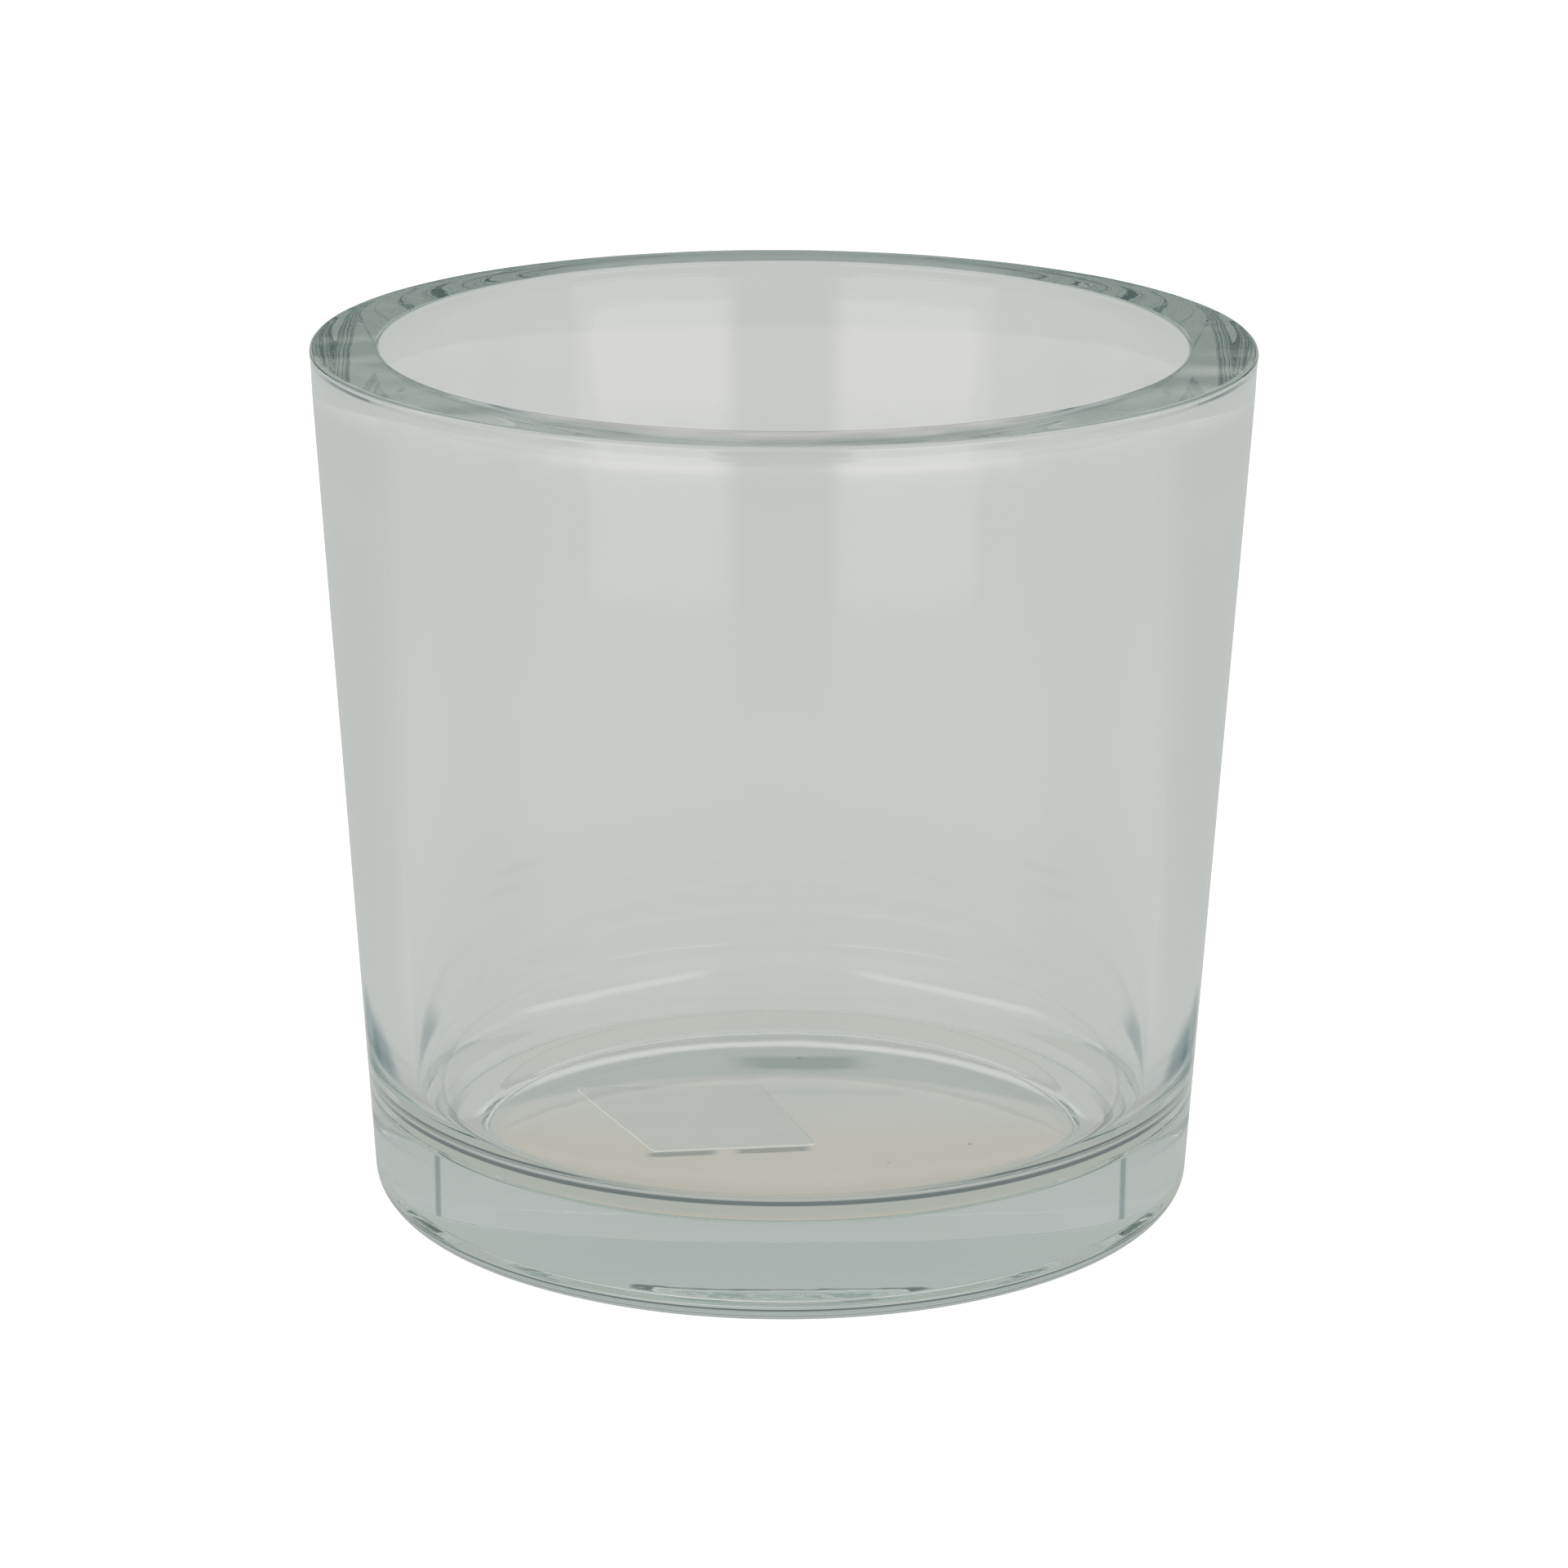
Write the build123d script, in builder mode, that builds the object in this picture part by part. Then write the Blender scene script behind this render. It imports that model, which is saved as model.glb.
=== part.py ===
from build123d import *

import os

# Glass cylinder vase: heavy pressed soda glass, with a paper price sticker under its base.
# Millimetres. The origin is on the table, at the middle of the foot, and +Z points out of the mouth.

# The outside, as the mould leaves it: a straight wall that widens from the foot to the rim.
height = 112.5
rim_radius = 60.0
foot_radius = 53.3              # where the wall, drawn straight down, would meet the table
heel_round = 3.4
rim_arris = 0.7                 # narrow bevel around the outside of the rim

# The inside, as the plunger leaves it: a straight wall that runs into a dished corner. Fire polishing
# then lets the rim swell a little into the mouth.
rim_width = 9.0                 # top of the wall, from the outside to the mouth
lip_bulge = 1.15                # the fire-polished rim swells this far into the mouth
lip_height = 8.5                # and runs out into the straight wall this far down
floor_thickness = 10.4          # table to inside floor
floor_radius = 41.5             # where the inside wall, drawn straight down, would meet the floor
floor_corner_round = 7.3
mouth_arris = 0.7               # narrow bevel around the inside of the rim

# The underside: a flat bearing ring around a shallow recess with a drafted side.
recess_radius = 40.8            # inner edge of the bearing ring
recess_depth = 0.3
recess_draft = 1.1              # how far the recess side leans in over its depth

# The price sticker, blank side down, glued inside the recess and off its middle. It is cut a little
# askew, so no two of its four edges are parallel and each corner has its own place.
far_left = (-28.3, 16.2)
near_left = (-16.5, -8.3)
near_right = (4.7, -5.4)
far_right = (-2.8, 17.5)
sticker_corner = 0.8
sticker_thickness = 0.12
glue_line = 0.05                # glass to paper

mouth_radius = rim_radius - rim_width
inner_taper = (mouth_radius + lip_bulge - floor_radius) / (height - floor_thickness)
lip_foot = (mouth_radius + lip_bulge - inner_taper * lip_height, height - lip_height)
sticker_level = recess_depth - glue_line - sticker_thickness


def circles_at(part, level, radius):
    """The round edges of a turned part at one height and one radius."""
    rings = part.edges().filter_by(GeomType.CIRCLE)
    return rings.filter_by(lambda ring: abs(ring.center().Z - level) < 1e-3 and abs(ring.radius - radius) < 1e-3)


# One piece of glass, turned from the mould's outside, the plunger and the recess
with BuildPart() as vase_glass:
    with BuildSketch(Plane.XZ) as mould:
        with BuildLine():
            Polyline((0, 0), (foot_radius, 0), (rim_radius, height), (0, height), close=True)
        make_face()
    revolve(axis=Axis.Z)
    fillet(circles_at(vase_glass.part, 0, foot_radius), heel_round)
    chamfer(circles_at(vase_glass.part, height, rim_radius), rim_arris)

    with BuildSketch(Plane.XZ) as plunger:
        with BuildLine():
            Polyline((0, height), (0, floor_thickness), (floor_radius, floor_thickness), lip_foot)
            lip = TangentArc(lip_foot, (mouth_radius, height), tangent=(inner_taper, 1))
            Line(lip @ 1, (0, height))
        make_face()
    revolve(axis=Axis.Z, mode=Mode.SUBTRACT)
    fillet(circles_at(vase_glass.part, floor_thickness, floor_radius), floor_corner_round)
    chamfer(circles_at(vase_glass.part, height, mouth_radius), mouth_arris)

    with BuildSketch(Plane.XZ) as recess:
        with BuildLine():
            Polyline(
                (0, 0),
                (recess_radius, 0),
                (recess_radius - recess_draft, recess_depth),
                (0, recess_depth),
                close=True,
            )
        make_face()
    revolve(axis=Axis.Z, mode=Mode.SUBTRACT)
vase_glass.part.label = "vase_glass"

# The sticker lies flat against the roof of the recess, above the plane of the bearing ring
with BuildPart() as base_sticker:
    with BuildSketch(Plane.XY.offset(sticker_level)) as label:
        with BuildLine():
            Polyline(far_left, near_left, near_right, far_right, close=True)
        make_face()
        fillet(label.vertices(), sticker_corner)
    extrude(amount=sticker_thickness)
base_sticker.part.label = "base_sticker"

os.makedirs("parts", exist_ok=True)
export_step(vase_glass.part, "parts/vase_glass.step")
export_step(base_sticker.part, "parts/base_sticker.step")
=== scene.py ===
import math

import bpy
import bmesh
from mathutils import Matrix, Vector, noise


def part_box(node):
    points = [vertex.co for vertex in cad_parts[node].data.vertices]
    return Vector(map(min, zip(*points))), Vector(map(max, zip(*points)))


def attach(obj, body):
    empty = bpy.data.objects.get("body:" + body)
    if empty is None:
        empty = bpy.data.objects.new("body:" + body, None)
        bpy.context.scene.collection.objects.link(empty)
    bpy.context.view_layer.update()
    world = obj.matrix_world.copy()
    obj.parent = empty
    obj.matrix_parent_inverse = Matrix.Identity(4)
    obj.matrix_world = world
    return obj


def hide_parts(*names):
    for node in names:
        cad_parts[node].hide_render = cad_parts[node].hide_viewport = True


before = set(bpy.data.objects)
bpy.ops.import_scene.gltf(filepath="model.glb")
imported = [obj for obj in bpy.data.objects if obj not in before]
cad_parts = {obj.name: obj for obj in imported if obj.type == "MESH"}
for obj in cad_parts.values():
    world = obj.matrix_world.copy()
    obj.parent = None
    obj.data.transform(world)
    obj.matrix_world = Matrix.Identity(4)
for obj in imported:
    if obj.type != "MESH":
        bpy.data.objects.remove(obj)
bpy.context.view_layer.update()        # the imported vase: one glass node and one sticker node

mm = 0.001


class Wire:  # one output socket, so that shader maths reads as arithmetic
    def __init__(self, bench, socket):
        self.bench = bench
        self.socket = socket

    def __add__(self, other):
        return self.bench.maths("ADD", self, other)

    __radd__ = __add__

    def __sub__(self, other):
        return self.bench.maths("SUBTRACT", self, other)

    def __rsub__(self, other):
        return self.bench.maths("SUBTRACT", other, self)

    def __mul__(self, other):
        return self.bench.maths("MULTIPLY", self, other)

    __rmul__ = __mul__

    def __truediv__(self, other):
        return self.bench.maths("DIVIDE", self, other)

    def __pow__(self, other):
        return self.bench.maths("POWER", self, other)

    def __neg__(self):
        return self.bench.maths("MULTIPLY", self, -1.0)

    def __abs__(self):
        return self.bench.maths("ABSOLUTE", self)


class Bench:  # a node tree, and the one way in which nodes are put into it
    def __init__(self, owner):
        owner.use_nodes = True
        self.owner = owner
        self.tree = owner.node_tree
        self.tree.nodes.clear()

    def add(self, kind, settings=None, sockets=None, out=0):
        made = self.tree.nodes.new("ShaderNode" + kind)
        for name, value in (settings or {}).items():
            if name == "stops":
                self.setStops(made.color_ramp, value)
            else:
                setattr(made, name, value)
        for name, value in (sockets or {}).items():
            if isinstance(value, Wire):
                self.tree.links.new(value.socket, made.inputs[name])
            else:
                made.inputs[name].default_value = value
        return Wire(self, made.outputs[out]) if made.outputs else made

    def setStops(self, ramp, stops):
        while len(ramp.elements) > 1:
            ramp.elements.remove(ramp.elements[-1])
        ramp.elements[0].position = stops[0][0]
        ramp.elements[0].color = rgba(stops[0][1])
        for position, colour in stops[1:]:
            ramp.elements.new(position).color = rgba(colour)

    def maths(self, operation, first, second=0.0):
        return self.add("Math", {"operation": operation}, {0: first, 1: second})

    def length(self, first, second):  # of a flat vector
        return (first * first + second * second) ** 0.5

    def turn(self, across, back):  # radians round from the front, the same to the left and the right
        return self.maths("ARCTAN2", abs(across), -back)

    def noise(self, place, scale, detail, roughness=0.5):
        sockets = {"Vector": place, "Scale": scale, "Detail": detail, "Roughness": roughness}
        return self.add("TexNoise", None, sockets)

    def bump(self, relief):  # relief in metres
        return self.add("Bump", None, {"Height": relief, "Strength": 1.0, "Distance": 1.0})

    def beside(self, wire, out):  # another output of the same node
        return Wire(self, wire.socket.node.outputs[out])

    def parts(self, vector):  # x, y and z
        split = self.add("SeparateXYZ", None, {0: vector})
        return split, self.beside(split, "Y"), self.beside(split, "Z")

    def blend(self, factor, first, second):  # two colours
        return self.add("Mix", {"data_type": "RGBA"}, {0: factor, 6: first, 7: second}, 2)

    def ease(self, value, low, high):  # 0 at low, 1 at high, smooth between
        return self.add("MapRange", {"interpolation_type": "SMOOTHSTEP"}, {0: value, 1: low, 2: high})

    def band(self, value, low, high, edge):  # 1 between low and high, smooth at both edges
        return self.ease(value, low - edge, low + edge) * self.ease(value, high + edge, high - edge)

    def stretch(self, vector, scale):
        return self.add("VectorMath", {"operation": "MULTIPLY"}, {0: vector, 1: scale})


def rgba(colour):
    return (*colour, 1.0)


def softNoise(spot):  # 0 to 1
    return 0.5 + 0.5 * noise.noise(spot)


def pieceFrom(mesh, name):
    bmesh.ops.recalc_face_normals(mesh, faces=mesh.faces)
    data = bpy.data.meshes.new(name)
    mesh.to_mesh(data)
    mesh.free()
    piece = bpy.data.objects.new(name, data)
    bpy.context.scene.collection.objects.link(piece)
    return piece


glass = {
    "footRadius": 53.3 * mm,
    "heelRound": 3.4 * mm,
    "rimRadius": 60.0 * mm,
    "rimWidth": 9.0 * mm,
    "outerEdge": 0.64 * mm,      # fire-polished edges of the rim
    "mouthEdge": 0.68 * mm,
    "lipBulge": 1.15 * mm,       # how far the rim swells into the mouth
    "lipReach": 11.45 * mm,
    "lipPower": 2.9,
    "shoulderRadius": 50.95 * mm,  # the inner wall where the swelling starts
    "shoulderRound": 160.0 * mm,
    "pinch": 0.10 * mm,          # the outside draws in a little, just under the rim
    "pinchLevel": 2.0 * mm,
    "floorThickness": 10.7 * mm,
    "floorRadius": 47.5 * mm,    # judged, not measured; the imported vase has 41.5 mm here
    "floorCorner": 9.0 * mm,
    "recessRadius": 40.8 * mm,
    "recessDepth": 0.3 * mm,
    "recessDraft": 1.1 * mm,
    "recessEdge": 0.1 * mm,
    "stations": 1.2 * mm,        # longest step along the section
    "rimStations": 0.35 * mm,
    "rimZone": 14.0 * mm,
    "turns": 320,                # steps round the vase
    "wallWave": 0.010 * mm,      # depth of the slow waves in the walls
    "waveSize": 24.0 * mm,
    "rimWave": 0.05 * mm,        # and of the quicker ones that fire polishing leaves at the rim
    "rimWaveSize": 8.0 * mm,
    "rimWaveReach": 5.0 * mm,
}


def roundedCorner(before, corner, after, radius, steps=12):
    toBefore = (before - corner).normalized()
    toAfter = (after - corner).normalized()
    half = toBefore.angle(toAfter) / 2
    centre = corner + (toBefore + toAfter).normalized() * radius / math.sin(half)
    spoke = corner + toBefore * radius / math.tan(half) - centre
    last = corner + toAfter * radius / math.tan(half) - centre
    sweep = math.atan2(spoke.cross(last), spoke.dot(last))
    return [centre + Matrix.Rotation(sweep * step / steps, 2) @ spoke for step in range(steps + 1)]


def swollen(shape, spot, height):
    # the rim after fire polishing: swollen into the mouth, pinched outside
    depth = height - spot.y
    if spot.y < height / 2:
        return spot
    if spot.x > shape["rimRadius"] - shape["rimWidth"] / 2:
        share = depth / shape["pinchLevel"]
        bump = share * share * math.exp(2 - 2 * share)  # 1 at the pinch's own level
        return spot - Vector((shape["pinch"] * bump, 0))
    share = max(0.0, 1 - depth / shape["lipReach"])
    return spot - Vector((shape["lipBulge"] * share ** shape["lipPower"], 0))


def sectionOfGlass(shape, height):
    # half section as (radius, height), from the middle of the underside round to the middle of the floor
    corners = [
        (0.0, shape["recessDepth"], 0),
        (shape["recessRadius"] - shape["recessDraft"], shape["recessDepth"], shape["recessEdge"]),
        (shape["recessRadius"], 0.0, shape["recessEdge"]),
        (shape["footRadius"], 0.0, shape["heelRound"]),
        (shape["rimRadius"], height, shape["outerEdge"]),
        (shape["rimRadius"] - shape["rimWidth"] + shape["lipBulge"], height, shape["mouthEdge"]),
        (shape["shoulderRadius"], height - shape["lipReach"], shape["shoulderRound"]),
        (shape["floorRadius"], shape["floorThickness"], shape["floorCorner"]),
        (0.0, shape["floorThickness"], 0),
    ]
    spots = [Vector(corner[:2]) for corner in corners]
    line = [spots[0]]
    for before, spot, after, corner in zip(spots, spots[1:], spots[2:], corners[1:]):
        line += roundedCorner(before, spot, after, corner[2])
    line.append(spots[-1])
    section = [line[0]]
    for start, end in zip(line, line[1:]):
        steps = max(1, math.ceil((end - start).length / shape["stations"]))
        for step in range(steps):
            low = start.lerp(end, step / steps)
            high = start.lerp(end, (step + 1) / steps)
            nearRim = height - max(low.y, high.y) < shape["rimZone"]
            parts = math.ceil((high - low).length / shape["rimStations"]) if nearRim else 1
            section += [low.lerp(high, (part + 1) / parts) for part in range(parts)]
    return [swollen(shape, spot, height) for spot in section]


def waveDepth(shape, spot, height):
    # how far the skin lies under the true section at one spot
    slow = softNoise(spot / shape["waveSize"])
    quick = softNoise(spot / shape["rimWaveSize"])
    nearRim = max(0.0, 1 - (height - spot.z) / shape["rimWaveReach"])
    return shape["wallWave"] * slow + shape["rimWave"] * quick * nearRim * nearRim


def turnedGlass(name, shape, height):
    section = sectionOfGlass(shape, height)
    mesh = bmesh.new()
    rings = []
    for index, spot in enumerate(section):
        if spot.x <= 0:
            rings.append([mesh.verts.new((0, 0, spot.y))] * shape["turns"])
            continue
        along = (section[min(index + 1, len(section) - 1)] - section[index - 1]).normalized()
        outward = Vector((along.y, -along.x))  # out of the glass
        ring = []
        for turn in range(shape["turns"]):
            angle = 2 * math.pi * turn / shape["turns"]
            place = Vector((spot.x * math.cos(angle), spot.x * math.sin(angle), spot.y))
            sunk = spot - outward * waveDepth(shape, place, height)
            if spot.y < shape["recessDepth"]:
                sunk.y = spot.y  # the bearing ring is ground flat
            ring.append(mesh.verts.new((sunk.x * math.cos(angle), sunk.x * math.sin(angle), sunk.y)))
        rings.append(ring)
    for lower, upper in zip(rings, rings[1:]):
        for turn in range(shape["turns"]):
            beside = (turn + 1) % shape["turns"]
            around = [lower[turn], lower[beside], upper[beside], upper[turn]]
            mesh.faces.new(dict.fromkeys(around)).smooth = True
    return pieceFrom(mesh, name)


clearGlass = {
    "ior": 1.52,
    "depthColour": (0.40, 0.56, 0.52),  # what is left of white after a long way through the glass
    "depthDensity": 5.0,
    "peelNoise": (150.0, 2.0),          # every noise is its scale, its detail and its roughness
    "peel": 0.006 * mm,                 # relief left by the iron of the mould
    "worn": 0.30,                       # roughness of the scuffed bearing ring
    "wornLevel": (0.12 * mm, 0.03 * mm),
    "wornRadius": (40.2 * mm, 41.0 * mm),
    "wornDepth": 0.01 * mm,
    "hairNoise": (5.0, 3.0),
    "hairs": (                          # two sets of scratches: their stretch, and how many show
        ((90, 2600, 400), (0.56, 0.66)),
        ((2400, 130, 400), (0.57, 0.67)),
    ),
    "smudged": 0.02,                    # roughness of the film
    "filmNoise": (38.0, 5.0, 0.62),
    "filmShows": (0.60, 0.80),
    "dust": (0.42, 0.38, 0.30),
    "dustCells": 130.0,
    "dustSize": (0.055, 0.03),
    "dustNoise": (61.0, 1.0),
    "dustShows": (0.55, 0.60),
    "dustInset": 4 * mm,
    "dustLevel": (-1 * mm, 2 * mm),     # above the inside floor
    "dustLevelEdge": 0.5 * mm,
}


def clearGlassFinish(look, shape):
    bench = Bench(bpy.data.materials.new("clearGlass"))
    place = bench.add("TexCoord", out="Object")
    across, back, level = bench.parts(place)
    radius = bench.length(across, back)

    # the bearing ring is scuffed by every table that the vase has stood on
    ring = bench.ease(level, *look["wornLevel"]) * bench.ease(radius, *look["wornRadius"])
    lengthwise, crosswise = [
        bench.ease(bench.noise(bench.stretch(place, stretch), *look["hairNoise"]), *shows)
        for stretch, shows in look["hairs"]
    ]
    scuffed = ring * (lengthwise + crosswise)

    # hands and water leave a thin uneven film on the outside
    film = bench.ease(bench.noise(place, *look["filmNoise"]), *look["filmShows"])
    roughness = look["smudged"] * film + look["worn"] * scuffed

    # a few specks of dust lie on the inside floor
    cells = bench.add("TexVoronoi", None, {"Vector": place, "Scale": look["dustCells"]}, "Distance")
    chance = bench.ease(bench.noise(place, *look["dustNoise"]), *look["dustShows"])
    inside = bench.ease(radius, shape["floorRadius"], shape["floorRadius"] - look["dustInset"])
    low, high = [shape["floorThickness"] + gap for gap in look["dustLevel"]]
    floor = bench.band(level, low, high, look["dustLevelEdge"])
    specks = bench.ease(cells, *look["dustSize"]) * chance * inside * floor
    colour = bench.blend(specks, rgba((1, 1, 1)), rgba(look["dust"]))

    relief = bench.noise(place, *look["peelNoise"]) * look["peel"] - scuffed * look["wornDepth"]
    surface = bench.add("BsdfPrincipled", None, {
        "Base Color": colour,
        "Roughness": roughness,
        "IOR": look["ior"],
        "Transmission Weight": 1.0,
        "Normal": bench.bump(relief),
    })
    depth = bench.add("VolumeAbsorption", None, {
        "Color": rgba(look["depthColour"]),
        "Density": look["depthDensity"],
    })
    bench.add("OutputMaterial", None, {"Surface": surface, "Volume": depth})
    return bench.owner


glassLow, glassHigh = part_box("vase_glass")
vase = turnedGlass("pressedVase", glass, glassHigh.z)
vase.data.materials.append(clearGlassFinish(clearGlass, glass))
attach(vase, "root")
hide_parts("vase_glass")
print("vase: turned", len(vase.data.vertices), "points")


sticker = {
    "farLeft": (-28.3 * mm, 16.2 * mm),
    "nearLeft": (-16.5 * mm, -8.3 * mm),
    "nearRight": (4.7 * mm, -5.4 * mm),
    "farRight": (-2.8 * mm, 17.5 * mm),
    "corner": 0.8 * mm,
    "thickness": 0.12 * mm,
    "cell": 0.5 * mm,
    "cockle": 0.03 * mm,       # how uneven the paper's blank side is
    "cockleSize": 6 * mm,
    "curl": 0.09 * mm,         # and how far its loose front edge has let go
    "curlReach": 1.2 * mm,
    "paper": (0.95, 0.96, 0.91),
    "fibre": (0.90, 0.91, 0.86),
    "pulpNoise": (900.0, 5.0, 0.7),
    "pulpShows": (0.42, 0.66),
    "pulpDepth": 0.02 * mm,
    "cloudNoise": (110.0, 3.0),
    "cloudShows": (0.40, 0.70),
    "roughness": 0.78,
    "pulpRoughness": 0.12,
}


def stickerPaper(name, shape, low, high):
    farLeft, nearLeft, nearRight, farRight = [
        Vector(shape[corner]) for corner in ("farLeft", "nearLeft", "nearRight", "farRight")
    ]
    width = ((farRight - farLeft).length + (nearRight - nearLeft).length) / 2
    length = ((farLeft - nearLeft).length + (farRight - nearRight).length) / 2
    columns = round(width / shape["cell"])
    rows = round(length / shape["cell"])
    mesh = bmesh.new()
    sheets = []
    for drop in (0.0, shape["thickness"]):
        grid = []
        for row in range(rows + 1):
            for column in range(columns + 1):
                spot = Vector((width * (column / columns - 0.5), length * (row / rows - 0.5)))
                arc = Vector((
                    math.copysign(max(0, abs(spot.x) - width / 2 + shape["corner"]), spot.x),
                    math.copysign(max(0, abs(spot.y) - length / 2 + shape["corner"]), spot.y),
                ))
                if arc.length > shape["corner"]:
                    spot -= arc - arc.normalized() * shape["corner"]  # pulled in to the round corner
                right = spot.x / width + 0.5
                back = spot.y / length + 0.5
                flat = nearLeft.lerp(nearRight, right).lerp(farLeft.lerp(farRight, right), back)
                cockle = softNoise(Vector((*flat, 0)) / shape["cockleSize"])
                loose = max(0.0, 1 - back * length / shape["curlReach"])
                level = high.z - shape["curl"] * loose * loose
                if drop:
                    level -= drop + shape["cockle"] * cockle
                grid.append(mesh.verts.new((flat.x, flat.y, max(low.z / 2, level))))
        sheets.append(grid)
    upper, lower = sheets
    wide = columns + 1
    for row in range(rows):
        for column in range(columns):
            at = row * wide + column
            mesh.faces.new([upper[at], upper[at + 1], upper[at + 1 + wide], upper[at + wide]]).smooth = True
            mesh.faces.new([lower[at], lower[at + wide], lower[at + 1 + wide], lower[at + 1]]).smooth = True
    rim = list(range(wide)) + [row * wide + columns for row in range(1, rows + 1)]
    rim += [rows * wide + column for column in range(columns - 1, -1, -1)]
    rim += [row * wide for row in range(rows - 1, 0, -1)]
    for here, there in zip(rim, rim[1:] + rim[:1]):
        mesh.faces.new([upper[here], lower[here], lower[there], upper[there]])
    return pieceFrom(mesh, name)


def stickerFinish(look):
    bench = Bench(bpy.data.materials.new("stickerPaper"))
    place = bench.add("TexCoord", out="Object")
    pulp = bench.noise(place, *look["pulpNoise"])
    cloud = bench.noise(place, *look["cloudNoise"])
    fibres = (bench.ease(pulp, *look["pulpShows"]) + bench.ease(cloud, *look["cloudShows"])) / 2
    surface = bench.add("BsdfPrincipled", None, {
        "Base Color": bench.blend(fibres, rgba(look["paper"]), rgba(look["fibre"])),
        "Roughness": look["roughness"] + look["pulpRoughness"] * pulp,
        "Normal": bench.bump(pulp * look["pulpDepth"]),
    })
    bench.add("OutputMaterial", None, {"Surface": surface})
    return bench.owner


stickerLow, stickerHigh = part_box("base_sticker")
paper = stickerPaper("priceSticker", sticker, stickerLow, stickerHigh)
paper.data.materials.append(stickerFinish(sticker))
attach(paper, "root")
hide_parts("base_sticker")
print("sticker: laid", len(paper.data.vertices), "points")


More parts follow.
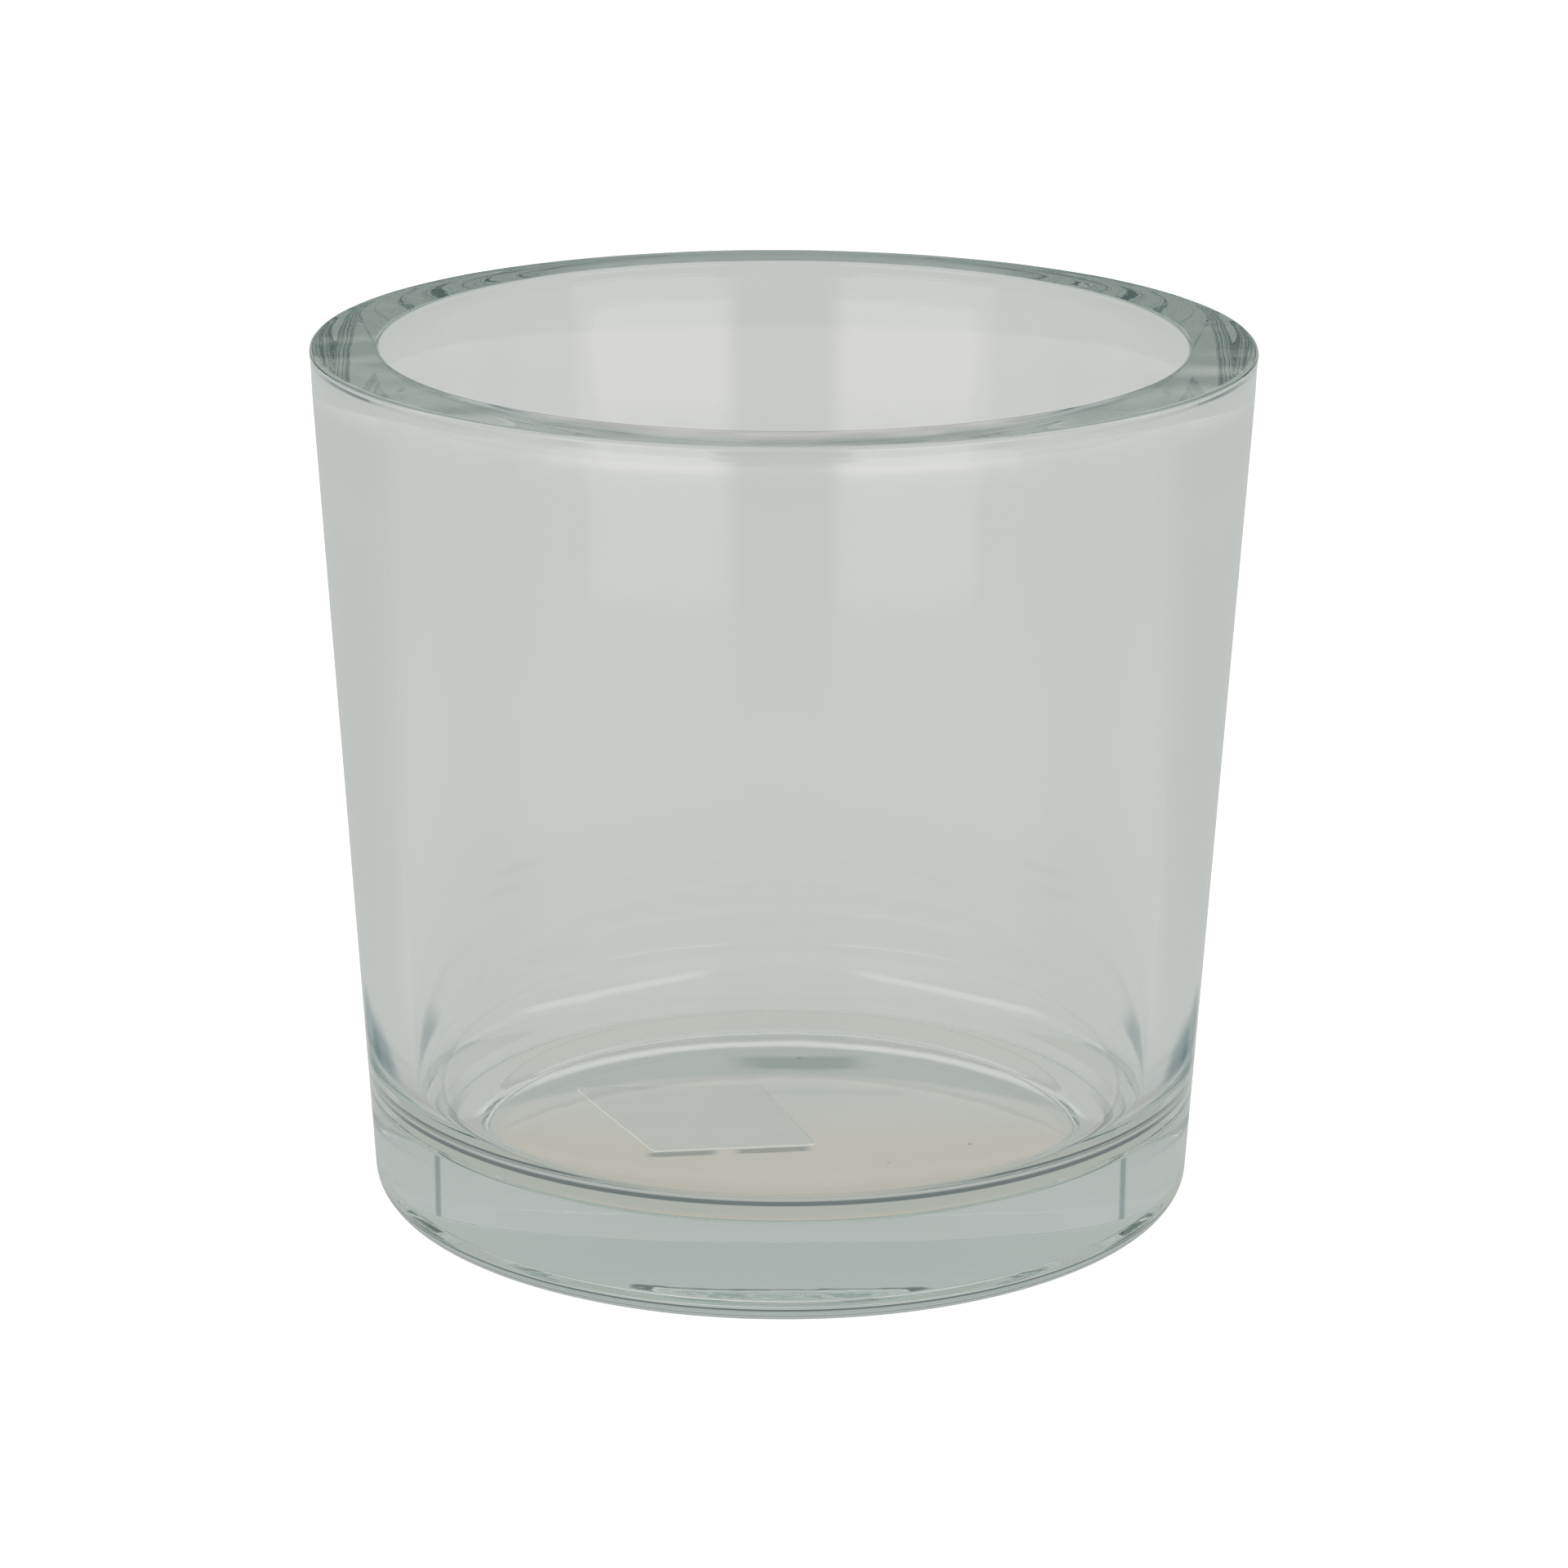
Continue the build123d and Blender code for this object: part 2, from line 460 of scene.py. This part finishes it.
# The room that the glass mirrors and bends, which the camera doesn't see: the table by distance in
# metres and the walls by height in degrees, in sectors from the front round to the back, with the same
# to the left and the right. It is painted and made up, down to the light and shade near the vase.
room = {
    "reach": 4.0,
    "rings": (0.02, 0.15, 0.6, 4.0),
    "tableSteps": 96,
    "page": (1.0, 1.0, 1.0),
    "pageShade": 0.22,          # how much of the page takes the shadow
    "daylight": (1.20, 1.20, 1.18),     # lights the paper and the page
    "tableTurns": ((11, 20), (59, 64), (100, 120)),
    "shades": {                 # the room is painted with these few
        "dark": (0.15, 0.18, 0.18),
        "dim": (0.42, 0.43, 0.42),
        "grey": (0.55, 0.57, 0.55),
        "soft": (0.67, 0.66, 0.65),
        "pale": (0.82, 0.79, 0.77),
        "warm": (0.95, 0.87, 0.80),
        "bright": (1.10, 1.05, 1.08),
        "window": (1.95, 1.85, 1.90),
    },
    "table": (                  # front, towards the window, side, back; in front the dim stops next to the foot are painted shade, and towards the window the bright stops far out are a painted sheen of the window
        ((0.05, "dim"), (0.06, "soft"), (0.12, "dim"), (0.20, "warm"), (0.40, "soft")),
        ((0.05, "dim"), (0.06, "soft"), (0.09, "dim"), (0.20, "warm"), (0.35, "pale"), (0.55, "bright"),
         (0.65, "window")),
        ((0.05, "dim"), (0.06, "grey"), (0.075, "dim"), (0.10, "grey"), (0.25, "pale"), (0.42, "soft"),
         (2.0, "bright")),
        ((0.05, "grey"), (0.40, "grey"), (0.80, "soft")),
    ),
    "farEdge": 0.53,            # the table ends straight behind the vase
    "farEdgeSoft": 10 * mm,
    "farSide": "grey",
    "wallTurns": ((17, 22), (57, 62), (73, 76), (92, 97)),
    "walls": (                  # front, window, beside the window, side, and back with a dark shelf
        ((0, "dim"), (12, "dim"), (20, "pale"), (45, "pale"), (60, "soft")),
        ((0, "window"), (2, "window"), (4, "dim"), (13, "dim"), (25, "pale"), (50, "pale"), (60, "grey")),
        ((0, "soft"), (45, "soft"), (60, "grey")),
        ((0, "soft"), (10, "dim"), (20, "grey"), (45, "soft")),
        ((0, "grey"), (7, "grey"), (10, "dark"), (12, "dark"), (13.5, "pale"), (17, "grey"), (26, "soft"),
         (38, "grey"), (60, "pale")),
    ),
    "discBack": 34.0 * mm,      # a lit disc under the base, its middle moved to the front
    "discRadius": 56.7 * mm,
    "discEdge": 1 * mm,
    "discFade": (-12 * mm, 14 * mm),    # from the front's colour to the middle's
    "discSideFade": (36 * mm, 40 * mm),
    "discFront": (0.50, 0.47, 0.40),
    "discMiddle": (0.50, 0.51, 0.47),
    "discSide": (0.44, 0.46, 0.42),
    # painted shade: the crescent behind the lit disc
    "crescent": (0.36, 0.40, 0.37),
    "crescentBack": 8.0 * mm,
    "crescentRadius": 43.2 * mm,
    "crescentEdge": 0.5 * mm,
    # painted light along the crescent's edge
    "crescentRim": (0.66, 0.68, 0.64),
    "crescentRimHalf": (1.6 * mm, 0.32 * mm),  # a line's half width, at no strength and at full
    "behind": (0.51, 0.53, 0.49),
    "underEdge": (54 * mm, 50 * mm),    # where the pattern under the base ends
    "roughNoise": (160.0, 3.0),         # frays the edges of the marks
    "roughSize": 5 * mm,
    "marks": (                  # two dark patches, the second a painted soft shadow behind the sticker: place, half width, half depth and colour
        (3.0 * mm, 27.3 * mm, 8.0 * mm, 2.6 * mm, (0.17, 0.23, 0.20)),
        (8.0 * mm, 15.4 * mm, 9.0 * mm, 1.2 * mm, (0.43, 0.46, 0.43)),
    ),
    "markEdges": (3 * mm, 1 * mm),
    "markRough": 0.4,
    "heelShade": (0.15, 0.18, 0.18),    # a dark ring under the heel, in front of the window
    "heelShadeRadius": 49.6 * mm,
    "heelShadeHalf": (2.3 * mm, 1.3 * mm),
    "heelShadeTurns": (75, 112),
    "paperShade": (0.17, 0.20, 0.17),   # a dark line under the loose edge of the sticker
    "paperShadeLine": (-7.1 * mm, 0.137),
    "paperShadeHalf": (1.1 * mm, 0.55 * mm),
    "paperShadeRough": 0.15,
    "paperShadeEndEdge": 0.8 * mm,
    "paperShadeEnds": ((-17.0 * mm, -8.5 * mm), (-5.5 * mm, 3.6 * mm)),
    "sideShade": (0.16, 0.23, 0.24),    # a long dim patch on either side, and the post's colour
    "sideShadePlace": (79 * mm, 44 * mm),
    "sideShadeFade": (12 * mm, 4 * mm),
    "sideShadeStretch": 0.4,
    "post": (132.2, 133.8),     # the edge of a door, in degrees round from the front and in rise
    "postEdge": 0.4,
    "postRise": (15, 27),
    "postRiseEdge": 0.02,
    "postDepth": 0.65,
    "streak": 0.20,             # two lines of light behind the vase
    "streakLine": (0.6, 0.8),
    "streakPlace": 62.2 * mm,
    "streakHalf": (2.4 * mm, 0.6 * mm),
    "streakEnds": (12 * mm, 40 * mm),
    "streakEndEdge": 3 * mm,
    "lampRise": 72.0,
    "lampDistance": 2.0,
    "lampSide": 1.2,
    "lampWatts": 8.0,
}


def roundTheVase(look, bench, along, turn, sectors, turns):
    # paints each sector along one wire, and blends it into the next one between two turns
    ramps = [
        bench.add("ValToRGB", {"stops": [(at, look["shades"][name]) for at, name in stops]}, {0: along})
        for stops in sectors
    ]
    colour = ramps[0]
    for (start, end), ramp in zip(turns, ramps[1:]):
        colour = bench.blend(bench.ease(turn, math.radians(start), math.radians(end)), colour, ramp)
    return colour


def underTheBase(look, bench, across, back, rough):
    # the painted light of the disc in front, the painted shade of the crescent with its pale rim of painted
    # light behind it, and the marks
    fromDisc = bench.length(across, back + look["discBack"])
    outer, inner = look["discRadius"] + look["discEdge"], look["discRadius"] - look["discEdge"]
    inDisc = bench.ease(fromDisc, outer, inner)
    disc = bench.blend(bench.ease(back, *look["discFade"]), rgba(look["discFront"]), rgba(look["discMiddle"]))
    outward = bench.ease(bench.length(across, back), *look["discSideFade"])
    disc = bench.blend(outward, disc, rgba(look["discSide"]))
    fromCrescent = bench.length(across, back + look["crescentBack"]) - look["crescentRadius"]
    beyond = bench.ease(fromCrescent, -look["crescentEdge"], look["crescentEdge"])
    crescent = bench.blend(beyond, rgba(look["crescent"]), rgba(look["behind"]))
    rim = bench.ease(abs(fromCrescent), *look["crescentRimHalf"])
    crescent = bench.blend(rim, crescent, rgba(look["crescentRim"]))
    colour = bench.blend(inDisc, crescent, disc)
    edgeX, edgeY = look["markEdges"]
    for markX, markY, halfX, halfY, tint in look["marks"]:
        inWidth = bench.ease(abs(across - markX) + rough, halfX + edgeX, halfX - edgeX)
        inDepth = bench.ease(abs(back - markY) + rough * look["markRough"], halfY + edgeY, halfY - edgeY)
        colour = bench.blend(inWidth * inDepth, colour, rgba(tint))
    return colour


def besideTheVase(look, bench, across, back, rough, colour):
    # painted shade: dim patches at both sides, the ring under the heel and the line under the sticker; and
    # the painted streaks of light
    sideX, sideY = look["sideShadePlace"]
    fromShade = bench.length(abs(across) - sideX, (back - sideY) * look["sideShadeStretch"])
    colour = bench.blend(bench.ease(fromShade, *look["sideShadeFade"]), colour, rgba(look["sideShade"]))

    fromHeel = abs(bench.length(across, back) - look["heelShadeRadius"])
    near, far = [math.radians(end) for end in look["heelShadeTurns"]]
    heel = bench.ease(fromHeel, *look["heelShadeHalf"]) * bench.ease(bench.turn(across, back), far, near)
    colour = bench.blend(heel, colour, rgba(look["heelShade"]))

    start, slope = look["paperShadeLine"]
    fromPaper = abs(back - slope * across - start) + rough * look["paperShadeRough"]
    line = bench.ease(fromPaper, *look["paperShadeHalf"])
    for ends in look["paperShadeEnds"]:
        within = bench.band(across, *ends, look["paperShadeEndEdge"])
        colour = bench.blend(line * within, colour, rgba(look["paperShade"]))

    lineX, lineY = look["streakLine"]
    fromStreak = abs(lineX * abs(across) + lineY * back - look["streakPlace"])
    within = bench.band(abs(across), *look["streakEnds"], look["streakEndEdge"])
    streak = bench.ease(fromStreak, *look["streakHalf"]) * within
    return bench.blend(streak * look["streak"], colour, rgba(look["page"]))


def rayKinds(bench):
    # the camera's own rays, and those that left a matt surface: their depth is a whole number above 0
    camera = bench.add("LightPath", out="Is Camera Ray")
    return camera, bench.ease(bench.beside(camera, "Diffuse Depth"), 0.4, 0.6)


def tableFinish(look):
    bench = Bench(bpy.data.materials.new("tableTop"))
    place = bench.add("TexCoord", out="Object")
    across, back = bench.parts(place)[:2]
    distance = bench.length(across, back)
    rough = bench.noise(place, *look["roughNoise"]) * look["roughSize"] - look["roughSize"] / 2

    # the ramps run by the root of the distance, so that the table near the vase gets most of them
    sectors = [[((size / look["reach"]) ** 0.5, name) for size, name in stops] for stops in look["table"]]
    away = (distance / look["reach"]) ** 0.5
    wide = roundTheVase(look, bench, away, bench.turn(across, back), sectors, look["tableTurns"])
    farSide = bench.ease(back, look["farEdge"] - look["farEdgeSoft"], look["farEdge"] + look["farEdgeSoft"])
    wide = bench.blend(farSide, wide, rgba(look["shades"][look["farSide"]]))
    under = underTheBase(look, bench, across, back, rough)
    colour = bench.blend(bench.ease(distance, *look["underEdge"]), wide, under)
    colour = besideTheVase(look, bench, across, back, rough, colour)

    # to the glass the table glows with this painted light and shade; it is not lit
    seenByGlass = bench.add("Emission", None, {"Color": colour})
    shaded = bench.add("BsdfDiffuse", None, {"Color": rgba(look["page"])})
    white = bench.add("Emission", None, {"Color": rgba(look["daylight"])})
    page = bench.add("MixShader", None, {0: 1 - look["pageShade"], 1: shaded, 2: white})
    camera, onPaper = rayKinds(bench)
    unseen = bench.add("MixShader", None, {0: onPaper, 1: seenByGlass, 2: white})
    surface = bench.add("MixShader", None, {0: camera, 1: unseen, 2: page})
    bench.add("OutputMaterial", None, {"Surface": surface})
    return bench.owner


def tableTop(look):
    mesh = bmesh.new()
    steps = look["tableSteps"]
    angles = [2 * math.pi * step / steps for step in range(steps)]
    rings = [
        [mesh.verts.new((size * math.cos(angle), size * math.sin(angle), 0)) for angle in angles]
        for size in look["rings"]
    ]
    mesh.faces.new(rings[0])
    for inner, outer in zip(rings, rings[1:]):
        for step in range(steps):
            beside = (step + 1) % steps
            mesh.faces.new([inner[step], outer[step], outer[beside], inner[beside]])
    return pieceFrom(mesh, "table")


def roomLight(look):
    world = bpy.data.worlds.new("room")
    bpy.context.scene.world = world
    bench = Bench(world)
    across, back, up = bench.parts(bench.add("TexCoord", out="Generated"))
    turn = bench.turn(across, back)
    sectors = [[(math.sin(math.radians(rise)), name) for rise, name in stops] for stops in look["walls"]]
    walls = roundTheVase(look, bench, up, turn, sectors, look["wallTurns"])
    sides = [math.radians(side) for side in look["post"]]
    heights = [math.sin(math.radians(rise)) for rise in look["postRise"]]
    post = bench.band(turn, *sides, math.radians(look["postEdge"]))
    post = post * bench.band(up, *heights, look["postRiseEdge"])
    walls = bench.blend(post * look["postDepth"], walls, rgba(look["sideShade"]))
    camera, onPaper = rayKinds(bench)
    byGlass = bench.beside(camera, "Is Transmission Ray") + bench.beside(camera, "Is Glossy Ray")
    colour = bench.blend(byGlass * (1 - onPaper), rgba(look["daylight"]), walls)
    colour = bench.blend(camera, colour, rgba(look["page"]))
    light = bench.add("Background", None, {"Color": colour, "Strength": 1.0})
    bench.add("OutputWorld", None, {"Surface": light})


def ceilingLamp(look):
    rise = math.radians(look["lampRise"])
    away = Vector((0, math.cos(rise), math.sin(rise)))
    data = bpy.data.lights.new("ceilingLamp", "AREA")
    data.shape = "SQUARE"
    data.size = look["lampSide"]
    data.energy = look["lampWatts"]
    lamp = bpy.data.objects.new("ceilingLamp", data)
    lamp.location = away * look["lampDistance"]
    lamp.rotation_euler = away.to_track_quat("Z", "Y").to_euler()
    lamp.visible_camera = False
    lamp.visible_glossy = False
    lamp.visible_transmission = False
    bpy.context.scene.collection.objects.link(lamp)


table = tableTop(room)
table.data.materials.append(tableFinish(room))
roomLight(room)
ceilingLamp(room)
print("room: table, walls and ceiling lamp")


view = {
    "pitch": 0.29394,            # radians below level
    "roll": 0.00428,
    "away": 11.2445,             # all three in rim radii
    "across": 0.00414,
    "level": 0.89503,
    "lens": 119.29,
    "sensor": 36.0,
    "clipStart": 10 * mm,
    "bounces": 48,               # light crosses a thick vase many times
}


def photographer(look, rimRadius):
    data = bpy.data.cameras.new("camera")
    data.lens = look["lens"]
    data.sensor_width = look["sensor"]
    data.clip_start = look["clipStart"]
    camera = bpy.data.objects.new("camera", data)
    bpy.context.scene.collection.objects.link(camera)
    bpy.context.scene.camera = camera
    forward = Vector((0, math.cos(look["pitch"]), -math.sin(look["pitch"])))
    right = Vector((1, 0, 0))
    upward = right.cross(forward)
    rolledRight = math.cos(look["roll"]) * right + math.sin(look["roll"]) * upward
    rolledUp = math.cos(look["roll"]) * upward - math.sin(look["roll"]) * right
    aim = Matrix((rolledRight, rolledUp, -forward)).transposed().to_4x4()
    aim.translation = (Vector((look["across"], 0, look["level"])) - look["away"] * forward) * rimRadius
    camera.matrix_world = aim


photographer(view, glass["rimRadius"])
scene = bpy.context.scene
scene.view_settings.view_transform = "Standard"
scene.cycles.max_bounces = view["bounces"]
scene.cycles.transmission_bounces = view["bounces"]
scene.cycles.glossy_bounces = view["bounces"]
print("camera: set")
